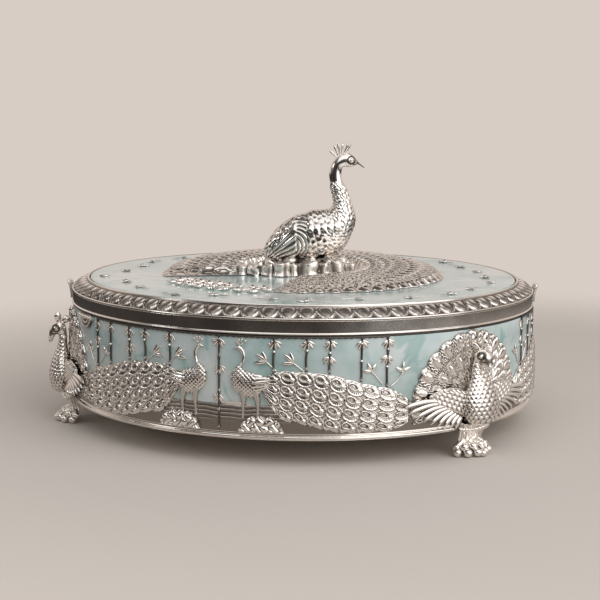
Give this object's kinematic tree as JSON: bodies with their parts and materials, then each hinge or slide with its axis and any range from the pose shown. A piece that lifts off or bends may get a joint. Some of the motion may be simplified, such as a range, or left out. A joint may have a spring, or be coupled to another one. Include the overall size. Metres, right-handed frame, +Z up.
{
  "type": "dry fruit box",
  "caption": "Round footed box for dry fruit: enamelled metal body on peacock feet, lift-off lid with a standing peacock finial, and loose glass dishes inside",
  "frame": {"origin": "centre of the base plate's underside, on the axis of the round body", "axes": "+Z up through the finial, -Y out through the middle of one enamel panel, with the feet 60 degrees to each side of it and one at +Y"},
  "size_m": [0.296, 0.3076, 0.1724],
  "materials": {
    "silver_plate": "polished silver plate on cast and spun metal",
    "enamel": "glossy marbled enamel",
    "steel": "plain screws",
    "glass": "clear pressed glass"
  },
  "bodies": {
    "base": {"wall_shell": "silver_plate", "base_plate": "silver_plate", "catch_plate": "silver_plate", "enamel_panel_1": "enamel", "enamel_panel_2": "enamel", "enamel_panel_3": "enamel", "wall_peacock_left_1": "silver_plate", "wall_peacock_left_2": "silver_plate", "wall_peacock_left_3": "silver_plate", "wall_peacock_right_1": "silver_plate", "wall_peacock_right_2": "silver_plate", "wall_peacock_right_3": "silver_plate", "bamboo_1": "silver_plate", "bamboo_2": "silver_plate", "bamboo_3": "silver_plate", "base_screw_1": "steel", "base_screw_2": "steel", "base_screw_3": "steel", "fan_tail_1": "silver_plate", "fan_tail_2": "silver_plate", "fan_tail_3": "silver_plate", "foot_peacock_1": "silver_plate", "foot_peacock_2": "silver_plate", "foot_peacock_3": "silver_plate", "foot_screw_1": "steel", "foot_screw_2": "steel", "foot_screw_3": "steel"},
    "lid": {"lid_shell": "silver_plate", "lid_moulding": "silver_plate", "lid_enamel": "enamel", "lid_fan": "silver_plate", "lid_tuft": "silver_plate", "lug_left": "silver_plate", "lug_right": "silver_plate", "finial_base": "silver_plate", "finial_peacock": "silver_plate", "finial_washer": "steel", "finial_screw": "steel"},
    "centre_dish": {"dish_centre": "glass"},
    "fan_dish_1": {"dish_1": "glass"},
    "fan_dish_2": {"dish_2": "glass"},
    "fan_dish_3": {"dish_3": "glass"},
    "fan_dish_4": {"dish_4": "glass"},
    "fan_dish_5": {"dish_5": "glass"}
  },
  "joints": [
    {"name": "lid_lift", "type": "slide", "parent": "base", "child": "lid", "axis": [0, 0, 1], "range_m": [0, 0.2]},
    {"name": "centre_dish_lift", "type": "slide", "parent": "base", "child": "centre_dish", "axis": [0, 0, 1], "range_m": [0, 0.1]},
    {"name": "dish_1_lift", "type": "slide", "parent": "base", "child": "fan_dish_1", "axis": [0, 0, 1], "range_m": [0, 0.1]},
    {"name": "dish_2_lift", "type": "slide", "parent": "base", "child": "fan_dish_2", "axis": [0, 0, 1], "range_m": [0, 0.1]},
    {"name": "dish_3_lift", "type": "slide", "parent": "base", "child": "fan_dish_3", "axis": [0, 0, 1], "range_m": [0, 0.1]},
    {"name": "dish_4_lift", "type": "slide", "parent": "base", "child": "fan_dish_4", "axis": [0, 0, 1], "range_m": [0, 0.1]},
    {"name": "dish_5_lift", "type": "slide", "parent": "base", "child": "fan_dish_5", "axis": [0, 0, 1], "range_m": [0, 0.1]}
  ],
  "couplings": [
    {"joint": "centre_dish_lift", "follows": "lid_lift", "ratio": 0.5},
    {"joint": "dish_1_lift", "follows": "lid_lift", "ratio": 0.5},
    {"joint": "dish_2_lift", "follows": "lid_lift", "ratio": 0.5},
    {"joint": "dish_3_lift", "follows": "lid_lift", "ratio": 0.5},
    {"joint": "dish_4_lift", "follows": "lid_lift", "ratio": 0.5},
    {"joint": "dish_5_lift", "follows": "lid_lift", "ratio": 0.5}
  ]
}
